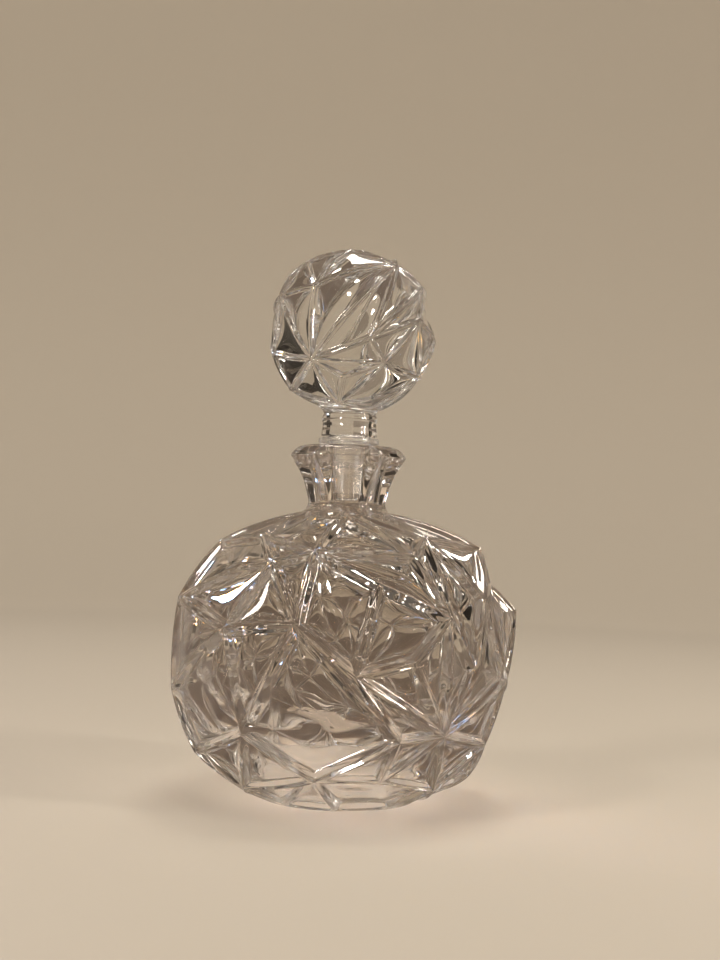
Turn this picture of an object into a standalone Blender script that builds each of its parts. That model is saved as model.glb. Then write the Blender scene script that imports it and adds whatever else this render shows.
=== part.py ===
"""Crystal scent bottle: a squat rock-cut body with a panelled neck, a rock-cut ball stopper that lifts
out and turns in the mouth, and the thin clear liner that seals the stopper's plug.

Units are metres, +Z is up, the origin is the middle of the foot and the front faces -Y.
"""

import math
import random

import bmesh
import bpy
from mathutils import Vector

MM = 0.001

# Driving dimensions.
BODY_RADIUS = 36.8 * MM
BODY_HALF_HEIGHT = 33.0 * MM
BODY_CENTRE_Z = 29.0 * MM
FOOT_RADIUS = 17.0 * MM
SHOULDER_Z = 61.4 * MM
NECK_RADIUS = 8.2 * MM
COLLAR_RADIUS = 12.6 * MM
MOUTH_Z = 75.5 * MM
BALL_RADIUS = 18.0 * MM
BALL_CENTRE_Z = 100.0 * MM
SHANK_RADIUS = 6.1 * MM
FLOOR_THICKNESS = 7.5 * MM
WALL_THICKNESS = 6.8 * MM
BORE_MOUTH_RADIUS = 5.6 * MM
PLUG_LENGTH = 11.5 * MM
LINER_WALL = 0.7 * MM
FLANGE_RADIUS = 6.6 * MM
FLANGE_THICKNESS = 1.3 * MM
CLEARANCE = 0.3 * MM

# Worked out from those.
BORE_TAPER = 0.055
BORE_FOOT_Z = SHOULDER_Z - 2.5 * MM
HOLLOW_RADIUS = BODY_RADIUS - WALL_THICKNESS
HOLLOW_HALF_HEIGHT = 24.5 * MM
HOLLOW_CENTRE_Z = FLOOR_THICKNESS + HOLLOW_HALF_HEIGHT
FLANGE_BOTTOM_Z = MOUTH_Z + CLEARANCE
FLANGE_TOP_Z = FLANGE_BOTTOM_Z + FLANGE_THICKNESS
SHANK_BOTTOM_Z = FLANGE_TOP_Z + CLEARANCE
SHANK_TOP_Z = BALL_CENTRE_Z - 0.93 * BALL_RADIUS
PLUG_END_Z = MOUTH_Z - PLUG_LENGTH
LINER_END_Z = PLUG_END_Z + 1.2 * MM

NECK_PANELS = 6
PANEL_CORNER = 0.97
SHARP_ANGLE = math.radians(12)

# The rock cut. Ridges run between star points all over, and the glass between them is scooped out. Each
# facet is drawn as rings of points, with so many steps along each side and so many rings inward.
SIDE_STEPS = 4
INWARD_STEPS = 3
SCOOP_PER_INRADIUS = 0.3

LEAST_GAP = 1e-6

# How far ridges run straight between star points rather than round, how much squarer than an ellipsoid
# the whole is, and how far star points stand proud. All are shares.
BODY_FLATTENING = 0.45
BALL_FLATTENING = 0.25
FULLNESS = 0.035
STAR_LIFT = (-0.005, 0.045)
FILL_TRIES = 4000
ERASE_CHANCE = 0.35
MOST_CORNERS = 5
BODY_SPACING = math.radians(31)
BALL_SPACING = math.radians(36)
BODY_SEED = 11
BALL_SEED = 5

# How many star points stand evenly around each plain ring that the rock cut meets.
FOOT_STARS = 9
SHOULDER_STARS = 6
SHANK_STARS = 7

# Star points on the front, as (azimuth, height angle) in degrees: azimuth 0 is the front and grows to
# the right. A third number is the star's own lift. The back is filled in at random.
BODY_STARS = {
    "brow_left": (-12, 44),
    "brow_right": (30, 43),
    "brow_middle": (13, 31),
    "arch_top": (-43, 51),
    "column_left": (-28, 39),
    "column_foot": (-14, 17),
    "centre": (5, 1),
    "inner_right": (23, 6),
    "cheek_top": (37, 20),
    "cheek_foot": (35, -19),
    "right_shoulder": (48, 54),
    "right_rim": (82, 44, 0.07),
    "right_notch": (84, 32, -0.015),
    "right_knot": (57, 26),
    "right_bend": (45, 3),
    "right_edge": (72, -3),
    "far_right": (86, 20, 0.065),
    "left_knot": (-38, 14),
    "left_rim": (-78, 22),
    "left_arch": (-80, 46),
    "left_edge": (-84, -12),
    "left_foot": (-33, -22),
    "belly_foot": (20, -21),
    "base_right": (17, -38),
    "base_left": (-8, -38),
    "base_far_left": (-46, -47),
    "low_right": (65, -27),
    "base_far_right": (44, -43),
    "low_left": (-66, -33),
    "foot_right": (82, -43, 0.01),
}
BODY_RIDGES = [
    ("brow_left", "brow_right"),
    ("brow_left", "brow_middle", "cheek_top", "brow_right"),
    ("brow_right", "right_shoulder", "cheek_top", "cheek_foot"),
    ("right_shoulder", "right_rim", "right_knot", "right_shoulder"),
    ("right_knot", "right_bend", "cheek_foot", "right_edge", "right_knot"),
    ("right_rim", "right_notch", "far_right", "right_edge", "low_right", "cheek_foot"),
    ("right_notch", "right_knot"),
    ("low_right", "foot_right", "base_far_right"),
    ("brow_middle", "centre", "inner_right", "cheek_top"),
    ("inner_right", "cheek_foot", "centre", "column_foot", "brow_left"),
    ("column_foot", "belly_foot", "cheek_foot"),
    ("brow_left", "arch_top", "column_left", "column_foot", "left_knot"),
    ("brow_left", "column_left", "left_rim", "left_knot", "column_left"),
    ("arch_top", "left_arch", "left_rim", "left_edge", "left_knot", "left_foot", "column_foot"),
    ("belly_foot", "base_right", "base_left", "left_foot"),
    ("base_left", "belly_foot"),
    ("left_edge", "low_left", "left_foot", "base_far_left", "low_left"),
    ("base_left", "base_far_left"),
    ("cheek_foot", "base_right"),
    ("cheek_foot", "base_far_right", "base_right"),
    ("low_right", "base_far_right"),
]
BALL_STARS = {
    "upper_left": (-29, 25),
    "hub": (-29, -24),
    "top_right": (41, 45),
    "foot": (-14, -58),
    "lens_right": (24, -25),
    "right_hub": (12, -10),
    "lug_top": (53, 6),
    "crown": (-7, 64),
    "left_rim": (-63, 20),
    "left_low": (-75, -17),
    "low_left": (-66, -44),
    "low_right": (68, -32),
    "right_top": (65, 31),
    "far_right": (88, -4),
    "lens_foot": (-6, -36),
}
BALL_RIDGES = [
    ("upper_left", "hub", "top_right", "upper_left"),
    ("hub", "right_hub", "top_right", "right_top", "right_hub", "lug_top", "right_top"),
    ("hub", "lens_right", "lens_foot", "hub", "foot", "lens_foot"),
    ("lens_right", "foot", "low_right", "lens_right", "right_hub"),
    ("lens_right", "lug_top", "low_right", "far_right", "lug_top"),
    ("upper_left", "crown", "top_right"),
    ("upper_left", "left_rim", "hub", "left_low", "left_rim"),
    ("hub", "low_left", "foot"),
    ("left_low", "low_left"),
]


def clear_scene():
    for obj in list(bpy.data.objects):
        bpy.data.objects.remove(obj)


def clear_material(name, colour, roughness, index):
    """A see-through solid with the given tint and refractive index."""
    material = bpy.data.materials.new(name)
    material.use_nodes = True
    shader = material.node_tree.nodes["Principled BSDF"]
    shader.inputs["Base Color"].default_value = (*colour, 1.0)
    shader.inputs["Roughness"].default_value = roughness
    shader.inputs["Metallic"].default_value = 0.0
    shader.inputs["IOR"].default_value = index
    shader.inputs["Transmission Weight"].default_value = 1.0
    return material


def add_object(name, mesh, material):
    """Turn a finished bmesh into a named, smoothly shaded object."""
    weld_distance = 0.01 * MM
    bmesh.ops.remove_doubles(mesh, verts=mesh.verts, dist=weld_distance)
    bmesh.ops.recalc_face_normals(mesh, faces=mesh.faces)
    data = bpy.data.meshes.new(name)
    mesh.to_mesh(data)
    mesh.free()
    data.shade_smooth()
    data.set_sharp_from_angle(angle=SHARP_ANGLE)
    data.materials.append(material)
    obj = bpy.data.objects.new(name, data)
    bpy.context.scene.collection.objects.link(obj)


# ---------------------------------------------------------------- turned and panelled shapes


def on_circle(radius, height, turn):
    """A point on a level circle about the axis, where the turn is measured from the front."""
    return Vector((radius * math.sin(turn), -radius * math.cos(turn), height))


def panel_factor(turn):
    """Radius of a panelled section over its corner radius, with the corners slightly rounded off."""
    half_panel = math.pi / NECK_PANELS
    from_flat = (turn + half_panel) % (2 * half_panel) - half_panel
    return min(PANEL_CORNER, math.cos(half_panel) / math.cos(from_flat)) / PANEL_CORNER


def add_ring(mesh, radius, height, steps, panelled=False):
    """A ring of points, round or panelled, with a flat panel on the front."""
    turns = [2 * math.pi * step / steps for step in range(steps)]
    reaches = [radius * (panel_factor(turn) if panelled else 1.0) for turn in turns]
    return [mesh.verts.new(on_circle(reach, height, turn)) for reach, turn in zip(reaches, turns)]


def add_wall(mesh, rings, closed=False):
    """Join each ring to the next with quads, and the last to the first if it is a closed loop."""
    following = rings[1:] + (rings[:1] if closed else [])
    for lower, upper in zip(rings, following):
        for step in range(len(lower)):
            after = (step + 1) % len(lower)
            mesh.faces.new((lower[step], lower[after], upper[after], upper[step]))


def ellipse_arc(centre_z, radii, start, end, steps):
    """Points (radius, height) along an ellipse about the axis, angles in degrees from level."""
    angles = [math.radians(start + (end - start) * step / steps) for step in range(steps + 1)]
    return [(radii[0] * math.cos(angle), centre_z + radii[1] * math.sin(angle)) for angle in angles]


def bore_radius(height):
    """The neck's bore narrows evenly below the mouth."""
    return BORE_MOUTH_RADIUS - BORE_TAPER * (MOUTH_Z - height)


# ---------------------------------------------------------------- rock-cut shapes


def side_of(a, b, point):
    """Above 0 where the point is left of the great circle from a to b, seen from outside."""
    return a.cross(b).dot(point)


class RidgeNet:
    """Ridges that join star points all over a unit sphere, and the facets between them.

    Star points stand on one or two level rings too, each given as (height, star count).
    """

    def __init__(self, ring_heights, seed):
        self.chooser = random.Random(seed)
        self.stars = []
        self.lifts = []
        self.on_ring = []
        self.index_of = {}
        self.third_corner = {}
        self.kept = set()
        for number, (height, count) in enumerate(ring_heights):
            level = math.sqrt(1.0 - height * height)
            for place in range(count):
                self.add_star(on_circle(level, height, 2 * math.pi * place / count), 0.0, (number, place))

    def add_star(self, towards, lift, place_on_ring=None):
        self.stars.append(towards)
        self.lifts.append(lift)
        self.on_ring.append(place_on_ring)

    def add_named_stars(self, named):
        for name, (azimuth, height, *own_lift) in named.items():
            self.index_of[name] = len(self.stars)
            level = math.cos(math.radians(height))
            towards = on_circle(level, math.sin(math.radians(height)), math.radians(azimuth))
            chance_lift = self.chooser.uniform(*STAR_LIFT)
            self.add_star(towards, own_lift[0] if own_lift else chance_lift)

    def fill_with_stars(self, spacing):
        """Star points at random wherever there is room for one between the rings."""
        ring_heights = [star.z for star, place in zip(self.stars, self.on_ring) if place]
        lowest = max([height for height in ring_heights if height < 0], default=-1.0)
        highest = min([height for height in ring_heights if height > 0], default=1.0)
        for _ in range(FILL_TRIES):
            height = self.chooser.uniform(lowest, highest)
            turn = self.chooser.uniform(0.0, 2 * math.pi)
            towards = on_circle(math.sqrt(1.0 - height * height), height, turn)
            if all(towards.angle(star) > spacing for star in self.stars):
                self.add_star(towards, self.chooser.uniform(*STAR_LIFT))

    def same_ring(self, indices):
        """Whether all these star points stand on one ring."""
        places = [self.on_ring[index] for index in indices]
        return all(places) and len({place[0] for place in places}) == 1

    def triangulate(self):
        """Join neighbouring star points by triangles that turn left, seen from outside."""
        mesh = bmesh.new()
        for star in self.stars:
            mesh.verts.new(star)
        mesh.verts.index_update()
        bmesh.ops.convex_hull(mesh, input=mesh.verts)
        for face in mesh.faces:
            a, b, c = (vertex.index for vertex in face.verts)
            if side_of(self.stars[a], self.stars[b], self.stars[c]) < 0:
                b, c = c, b
            if not self.same_ring((a, b, c)):
                self.set_triangle(a, b, c)
        mesh.free()

    def set_triangle(self, a, b, c):
        self.third_corner[a, b] = c
        self.third_corner[b, c] = a
        self.third_corner[c, a] = b

    def crosses(self, a, b, c, d):
        """Whether the ridge from a to b would cross the one from c to d."""
        if {a, b} & {c, d}:
            return False
        a, b, c, d = (self.stars[index] for index in (a, b, c, d))
        near = (a + b).dot(c + d) > 0
        return near and side_of(a, b, c) * side_of(a, b, d) < 0 and side_of(c, d, a) * side_of(c, d, b) < 0

    def force_ridge(self, a, b):
        """Turn triangle sides that lie across the way from a to b until one runs along it."""
        waiting = [key for key in sorted(self.third_corner) if key[0] < key[1] and self.crosses(a, b, *key)]
        while waiting:
            first, second = waiting.pop(0)
            third = self.third_corner[first, second]
            fourth = self.third_corner[second, first]
            if not self.crosses(third, fourth, first, second):
                waiting.append((first, second))
                continue
            del self.third_corner[first, second], self.third_corner[second, first]
            self.set_triangle(first, fourth, third)
            self.set_triangle(fourth, second, third)
            if self.crosses(a, b, third, fourth):
                waiting.append((third, fourth))

    def add_ridges(self, chains):
        """Force the chosen ridges, each chain of names being joined one to the next."""
        for chain in chains:
            for first, second in zip(chain, chain[1:]):
                a, b = self.index_of[first], self.index_of[second]
                self.force_ridge(a, b)
                self.kept.add((min(a, b), max(a, b)))

    def is_convex(self, loop):
        """Whether a facet never turns right by more than a trace."""
        trace = 0.004
        for index, corner in enumerate(loop):
            a, b, c = (self.stars[star] for star in (loop[index - 2], loop[index - 1], corner))
            if side_of(a, b, c) < -trace:
                return False
        return True

    def facets(self):
        """Erase ridges between triangles where that leaves a convex facet of few corners.

        Among the named star points every ridge goes that wasn't chosen, and elsewhere some do.
        """
        loop_of = {}
        for a, b in sorted(self.third_corner):
            c = self.third_corner[a, b]
            if a < min(b, c):
                loop = [a, b, c]
                loop_of[a, b] = loop_of[b, c] = loop_of[c, a] = loop
        named = set(self.index_of.values())
        sides = [key for key in sorted(self.third_corner) if key[0] < key[1] and key not in self.kept]
        self.chooser.shuffle(sides)
        for a, b in sides:
            chosen_out = a in named and b in named
            if self.same_ring((a, b)) or not (chosen_out or self.chooser.random() < ERASE_CHANCE):
                continue
            left, right = loop_of[a, b], loop_of[b, a]
            start, end = left.index(b), right.index(a)
            merged = left[start:] + left[:start] + (right[end:] + right[:end])[1:-1]
            if len(merged) != len(set(merged)) or len(merged) > MOST_CORNERS or not self.is_convex(merged):
                continue
            for first, second in zip(merged, merged[1:] + merged[:1]):
                loop_of[first, second] = merged
            del loop_of[a, b], loop_of[b, a]
        unique = {tuple(loop): loop for loop in loop_of.values()}
        return [unique[key] for key in sorted(unique)]


class Rock:
    """An ellipsoid about the axis, cut all over into scooped facets with raised ridges between them.

    It is open at one or two level rings, given as (radius, height, star count), which plain shapes join.
    """

    def __init__(self, radii, centre_z, rings, seed, flattening):
        self.radii = radii
        self.flattening = flattening
        self.centre_z = centre_z
        self.rings = rings
        heights = []
        for radius, height, count in rings:
            scaled = Vector((radius / radii[0], (height - centre_z) / radii[2]))
            heights.append((scaled.y / scaled.length, count))
        self.net = RidgeNet(heights, seed)

    def side_point(self, a, b, share):
        """(direction, reach) on the ridge from star a to star b, or on the ring that joins them."""
        net = self.net
        if net.same_ring((a, b)):
            radius, height, count = self.rings[net.on_ring[a][0]]
            first, second = net.on_ring[a][1], net.on_ring[b][1]
            step = (second - first + count // 2) % count - count // 2
            point = on_circle(radius, height - self.centre_z, 2 * math.pi * (first + step * share) / count)
            scaled = Vector([point[axis] / self.radii[axis] for axis in range(3)])
            direction = scaled.normalized()
            return direction, scaled.length / self.fullness(direction)
        flat = net.stars[a].lerp(net.stars[b], share)
        reach = 1.0 + self.lift(a) + (self.lift(b) - self.lift(a)) * share
        return flat.normalized(), reach * (1.0 - self.flattening * (1.0 - flat.length))

    def lift(self, star):
        """How far a star point stands above the ellipsoid, as a share."""
        place = self.net.on_ring[star]
        if place is None:
            return self.net.lifts[star]
        radius, height, _ = self.rings[place[0]]
        length = math.hypot(radius / self.radii[0], (height - self.centre_z) / self.radii[2])
        return length / self.fullness(self.net.stars[star]) - 1.0

    def facet_sides(self, loop):
        """(normal, offset) of each side's plane, so that normal.direction - offset is the gap from it."""
        sides = []
        for a, b in zip(loop, loop[1:] + loop[:1]):
            first, second = self.net.stars[a], self.net.stars[b]
            if self.net.same_ring((a, b)):
                upward = Vector((0.0, 0.0, math.copysign(1.0, -first.z)))
                level = math.hypot(first.x, first.y)
                sides.append((upward / level, upward.z * first.z / level))
            else:
                sides.append((first.cross(second).normalized(), 0.0))
        return sides

    def most_central(self, loop, sides):
        """The direction inside a facet that is furthest from its nearest side."""
        middle = sum((self.net.stars[corner] for corner in loop), Vector()).normalized()
        stride = 0.05
        strides = 60
        shortening = 0.9
        for _ in range(strides):
            normal, _ = min(sides, key=lambda side: side[0].dot(middle) - side[1])
            middle = (middle + stride * normal.normalized()).normalized()
            stride *= shortening
        return middle

    def uncut_reach(self, direction, loop, sides):
        """The reach of a facet before it is scooped, blended smoothly from all its corners.

        Each corner weighs most near itself and nothing on the sides that don't touch it.
        """
        gaps = [max(0.0, normal.dot(direction) - offset) for normal, offset in sides]
        flat = Vector()
        lift = 0.0
        total = 0.0
        for index, corner in enumerate(loop):
            weight = sides[index - 1][0].normalized().cross(sides[index][0].normalized()).length
            for other in range(1, len(loop) - 1):
                weight *= gaps[(index + other) % len(loop)]
            flat += weight * self.net.stars[corner]
            lift += weight * self.lift(corner)
            total += weight
        return (1.0 + lift / total) * (1.0 - self.flattening * (1.0 - flat.length / total))

    def scoop(self, direction, sides, middle):
        """How deep the glass is cut below the ridges: a bowl that is deepest near the facet's middle."""
        gaps = [max(LEAST_GAP, normal.dot(direction) - offset) for normal, offset in sides]
        middle_gaps = [max(LEAST_GAP, normal.dot(middle) - offset) for normal, offset in sides]
        bowl = len(sides) / sum(middle_gap / gap for middle_gap, gap in zip(middle_gaps, gaps))
        return SCOOP_PER_INRADIUS * min(middle_gaps) * bowl

    def fullness(self, direction):
        """The shoulders and the turn of the base are a little squarer than an ellipsoid's."""
        return 1.0 + FULLNESS * 4.0 * direction.z**2 * (1.0 - direction.z**2)

    def place(self, direction, reach):
        full_reach = reach * self.fullness(direction)
        point = Vector([direction[axis] * self.radii[axis] * full_reach for axis in range(3)])
        return point + Vector((0.0, 0.0, self.centre_z))

    def add_facet(self, mesh, loop):
        """One scooped facet, as rings of points that shrink from its ridges to its middle."""
        outline = []
        for a, b in zip(loop, loop[1:] + loop[:1]):
            outline += [self.side_point(a, b, step / SIDE_STEPS) for step in range(SIDE_STEPS)]
        sides = self.facet_sides(loop)
        middle = self.most_central(loop, sides)
        mismatches = [reach - self.uncut_reach(direction, loop, sides) for direction, reach in outline]
        rings = []
        for step in range(INWARD_STEPS):
            inward = step / INWARD_STEPS
            ring = []
            for (direction, reach), mismatch in zip(outline, mismatches):
                if step:
                    direction = direction.lerp(middle, inward).normalized()
                    depth = self.scoop(direction, sides, middle)
                    reach = self.uncut_reach(direction, loop, sides) + mismatch * (1.0 - inward) ** 2 - depth
                ring.append(mesh.verts.new(self.place(direction, reach)))
            rings.append(ring)
        reach = self.uncut_reach(middle, loop, sides) - self.scoop(middle, sides, middle)
        peak = mesh.verts.new(self.place(middle, reach))
        add_wall(mesh, rings)
        for start, end in zip(rings[-1], rings[-1][1:] + rings[-1][:1]):
            mesh.faces.new((start, end, peak))

    def build(self, named_stars, ridges, spacing):
        """The open rock-cut surface as a bmesh."""
        self.net.add_named_stars(named_stars)
        self.net.fill_with_stars(spacing)
        self.net.triangulate()
        self.net.add_ridges(ridges)
        mesh = bmesh.new()
        for loop in self.net.facets():
            self.add_facet(mesh, loop)
        return mesh


# ---------------------------------------------------------------- the pieces


def collar_profile():
    """(radius, height) up the panelled neck and over the sharp-cornered collar to the flat mouth."""
    return [
        (NECK_RADIUS, SHOULDER_Z + 1.4 * MM),
        (NECK_RADIUS + 0.6 * MM, MOUTH_Z - 9.5 * MM),
        (NECK_RADIUS + 1.7 * MM, MOUTH_Z - 6.5 * MM),
        (COLLAR_RADIUS - 0.3 * MM, MOUTH_Z - 2.9 * MM),
        (COLLAR_RADIUS, MOUTH_Z - 2.3 * MM),
        (COLLAR_RADIUS - 0.5 * MM, MOUTH_Z - 1.5 * MM),
        (COLLAR_RADIUS - 1.9 * MM, MOUTH_Z - 0.4 * MM),
    ]


def hollow_profile():
    """(radius, height) down the tapered bore and round the scent space to its floor."""
    lip = 0.4 * MM
    foot_radius = bore_radius(BORE_FOOT_Z)
    start = math.degrees(math.acos((foot_radius + 0.8 * MM) / HOLLOW_RADIUS))
    floor_end = -62
    floor_radius = HOLLOW_RADIUS * math.cos(math.radians(floor_end))
    profile = [
        (NECK_RADIUS, MOUTH_Z),
        (BORE_MOUTH_RADIUS + lip, MOUTH_Z),
        (BORE_MOUTH_RADIUS, MOUTH_Z - lip),
        (foot_radius, BORE_FOOT_Z),
    ]
    profile += ellipse_arc(HOLLOW_CENTRE_Z, (HOLLOW_RADIUS, HOLLOW_HALF_HEIGHT), start, floor_end, 12)
    profile.append((0.7 * floor_radius, FLOOR_THICKNESS))
    return profile


def build_bottle(crystal):
    """Rock-cut body, neck and collar in one glass, hollowed through the mouth and flat at the foot."""
    shoulder_radius = NECK_RADIUS + 0.8 * MM
    radii = (BODY_RADIUS, BODY_RADIUS, BODY_HALF_HEIGHT)
    rings = [(FOOT_RADIUS, 0.0, FOOT_STARS), (shoulder_radius, SHOULDER_Z, SHOULDER_STARS)]
    rock = Rock(radii, BODY_CENTRE_Z, rings, BODY_SEED, BODY_FLATTENING)
    mesh = rock.build(BODY_STARS, BODY_RIDGES, BODY_SPACING)
    mesh.faces.new(add_ring(mesh, FOOT_RADIUS, 0.0, FOOT_STARS * SIDE_STEPS))
    steps = SHOULDER_STARS * SIDE_STEPS
    rows = [add_ring(mesh, shoulder_radius, SHOULDER_Z, steps)]
    rows += [add_ring(mesh, radius, height, steps, True) for radius, height in collar_profile()]
    rows += [add_ring(mesh, radius, height, steps) for radius, height in hollow_profile()]
    add_wall(mesh, rows)
    mesh.faces.new(rows[-1])
    add_object("bottle_body", mesh, crystal)


def shank_profile():
    """(radius, height) down the shank, which steps in to the tapered plug with a rounded end."""
    plug_gap = 2 * CLEARANCE + LINER_WALL
    plug_top = bore_radius(MOUTH_Z) - plug_gap
    plug_foot = bore_radius(PLUG_END_Z) - plug_gap
    end_round = 0.8 * MM
    waist = 0.25 * MM
    return [
        (SHANK_RADIUS - 2.0 * waist, SHANK_TOP_Z - 0.9 * MM),
        (SHANK_RADIUS, SHANK_TOP_Z - 1.8 * MM),
        (SHANK_RADIUS - waist, SHANK_BOTTOM_Z + 2.2 * MM),
        (SHANK_RADIUS, SHANK_BOTTOM_Z + 0.8 * MM),
        (SHANK_RADIUS - 0.2 * MM, SHANK_BOTTOM_Z),
        (plug_top, SHANK_BOTTOM_Z),
        (plug_foot, PLUG_END_Z + end_round),
        (plug_foot - 0.3 * end_round, PLUG_END_Z + 0.3 * end_round),
        (plug_foot - end_round, PLUG_END_Z),
    ]


def build_stopper(crystal):
    """Rock-cut ball on its shank and plug, all one solid glass."""
    radii = (BALL_RADIUS, BALL_RADIUS, BALL_RADIUS)
    rings = [(SHANK_RADIUS, SHANK_TOP_Z, SHANK_STARS)]
    rock = Rock(radii, BALL_CENTRE_Z, rings, BALL_SEED, BALL_FLATTENING)
    mesh = rock.build(BALL_STARS, BALL_RIDGES, BALL_SPACING)
    steps = SHANK_STARS * SIDE_STEPS
    rows = [add_ring(mesh, SHANK_RADIUS, SHANK_TOP_Z, steps)]
    rows += [add_ring(mesh, radius, height, steps) for radius, height in shank_profile()]
    add_wall(mesh, rows)
    mesh.faces.new(rows[-1])
    add_object("stopper", mesh, crystal)


def build_liner(plastic):
    """Thin tapered tube in the mouth, with a small flange resting on the collar."""
    outer_top = bore_radius(MOUTH_Z) - CLEARANCE
    outer_foot = bore_radius(LINER_END_Z) - CLEARANCE
    edge = 0.2 * MM
    profile = [
        (outer_foot, LINER_END_Z),
        (outer_top, MOUTH_Z),
        (outer_top, FLANGE_BOTTOM_Z),
        (FLANGE_RADIUS - edge, FLANGE_BOTTOM_Z),
        (FLANGE_RADIUS, FLANGE_BOTTOM_Z + edge),
        (FLANGE_RADIUS, FLANGE_TOP_Z - edge),
        (FLANGE_RADIUS - edge, FLANGE_TOP_Z),
        (outer_top - LINER_WALL, FLANGE_TOP_Z),
        (outer_foot - LINER_WALL, LINER_END_Z),
    ]
    steps = 48
    mesh = bmesh.new()
    add_wall(mesh, [add_ring(mesh, radius, height, steps) for radius, height in profile], closed=True)
    add_object("stopper_sleeve", mesh, plastic)


def main():
    clear_scene()
    build_bottle(clear_material("clear_crystal", (0.97, 0.97, 0.95), 0.02, 1.54))
    build_stopper(clear_material("clear_crystal_stopper", (0.98, 0.98, 0.97), 0.02, 1.54))
    build_liner(clear_material("clear_plastic", (0.93, 0.92, 0.88), 0.12, 1.5))


main()
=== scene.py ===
"""Looks of the rock-cut crystal scent bottle: fine cut glass around the CAD frame, floor, light, camera."""

import math
import random

import bmesh
import bpy
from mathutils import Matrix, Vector, noise


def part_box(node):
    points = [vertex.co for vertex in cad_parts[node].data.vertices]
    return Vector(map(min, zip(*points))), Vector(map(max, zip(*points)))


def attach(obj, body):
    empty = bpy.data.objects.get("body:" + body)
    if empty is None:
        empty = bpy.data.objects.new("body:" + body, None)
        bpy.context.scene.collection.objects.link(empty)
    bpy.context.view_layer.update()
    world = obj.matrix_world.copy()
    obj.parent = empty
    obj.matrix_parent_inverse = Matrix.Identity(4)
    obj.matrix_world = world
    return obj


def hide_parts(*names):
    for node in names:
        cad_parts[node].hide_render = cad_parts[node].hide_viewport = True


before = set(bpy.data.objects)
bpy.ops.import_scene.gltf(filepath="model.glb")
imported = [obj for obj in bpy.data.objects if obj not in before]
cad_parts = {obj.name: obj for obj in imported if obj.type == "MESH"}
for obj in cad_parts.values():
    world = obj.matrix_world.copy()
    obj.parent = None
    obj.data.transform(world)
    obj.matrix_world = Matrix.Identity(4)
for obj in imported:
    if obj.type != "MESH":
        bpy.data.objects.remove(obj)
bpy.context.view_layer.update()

MM = 0.001
BOTTLE_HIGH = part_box("bottle_body")[1]
STOPPER_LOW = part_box("stopper")[0]
LINER_LOW, LINER_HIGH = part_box("stopper_sleeve")

# Sizes that repeat the CAD's own, or are read off its boxes.
BODY_RADIUS = 36.8 * MM
BODY_HALF_HEIGHT = 33.0 * MM
BODY_CENTRE_Z = 29.0 * MM
FOOT_RADIUS = 17.0 * MM
SHOULDER_Z = 61.4 * MM
NECK_RADIUS = 8.2 * MM
COLLAR_RADIUS = 12.6 * MM
MOUTH_Z = BOTTLE_HIGH[2]
BALL_RADIUS = 18.0 * MM
BALL_CENTRE_Z = 100.0 * MM
SHANK_RADIUS = 6.1 * MM
FLOOR_THICKNESS = 7.5 * MM
WALL_THICKNESS = 6.8 * MM
BORE_MOUTH_RADIUS = 5.6 * MM
BORE_TAPER = 0.055
BORE_FOOT_Z = SHOULDER_Z - 2.5 * MM
HOLLOW_RADIUS = BODY_RADIUS - WALL_THICKNESS
HOLLOW_HALF_HEIGHT = 24.5 * MM
HOLLOW_CENTRE_Z = FLOOR_THICKNESS + HOLLOW_HALF_HEIGHT
LINER_WALL = 0.7 * MM
CLEARANCE = 0.3 * MM
FLANGE_RADIUS = LINER_HIGH[0]
FLANGE_TOP_Z = LINER_HIGH[2]
FLANGE_BOTTOM_Z = MOUTH_Z + CLEARANCE
LINER_END_Z = LINER_LOW[2]
PLUG_END_Z = STOPPER_LOW[2]
SHANK_BOTTOM_Z = FLANGE_TOP_Z + CLEARANCE
SHANK_TOP_Z = BALL_CENTRE_Z - 0.93 * BALL_RADIUS

NECK_PANELS = 6
PANEL_CORNER = 0.97
LIP = 0.45 * MM

# The rock cut, laid out as in the CAD but with fine facets. Ridges run between star points, and the glass
# between them is scooped out. How finely each facet is divided, and how much closer together the points
# stand near its corners and its sides:
SIDE_STEPS = 24
INWARD_STEPS = 20
CORNER_CROWDING = 1.4
EDGE_CROWDING = 1.6

# How far a ridge between two star points sinks towards a straight line, as a share of the way.
BODY_FLATTENING = 0.45
BALL_FLATTENING = 0.25

# Each cut is (crest half-width, flank width, flank depth, bowl depth per inradius).
BODY_CUT = (0.5 * MM, 1.1 * MM, 0.8 * MM, 0.22)
BALL_CUT = (0.25 * MM, 0.5 * MM, 0.45 * MM, 0.16)
FLANK_PER_INRADIUS = 0.3
FULLNESS = 0.035
LEAST_GAP = 1e-6

# Where the star points stand, and how readily the ridges between them are left out. A lift is how far a
# star point stands above the ellipsoid, as a share of the radius.
STAR_LIFT = (-0.005, 0.045)
FILL_TRIES = 4000
ERASE_CHANCE = 0.35
MOST_CORNERS = 5
BODY_SPACING = math.radians(31)
BALL_SPACING = math.radians(36)
BODY_SEED = 11
BALL_SEED = 5
FOOT_STARS = 9
SHOULDER_STARS = 6
SHANK_STARS = 7

# How much of a lamp's light passes each surface of clear glass on its way to the floor.
SHADOW_SHARE = 0.5

# Where the lights aim, and their colours.
LIGHT_TARGET = (0.0, 0.0, 0.06)
WARM = (1.0, 0.94, 0.86)
AMBER = (1.0, 0.55, 0.16)
BLUE = (0.25, 0.5, 1.0)

# The screens that only the glass shows: painted shade where they are dark, painted highlights where they are
# bright.
SCREEN_ROUGHNESS = 0.9
SCREEN_SEED = 3

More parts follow.
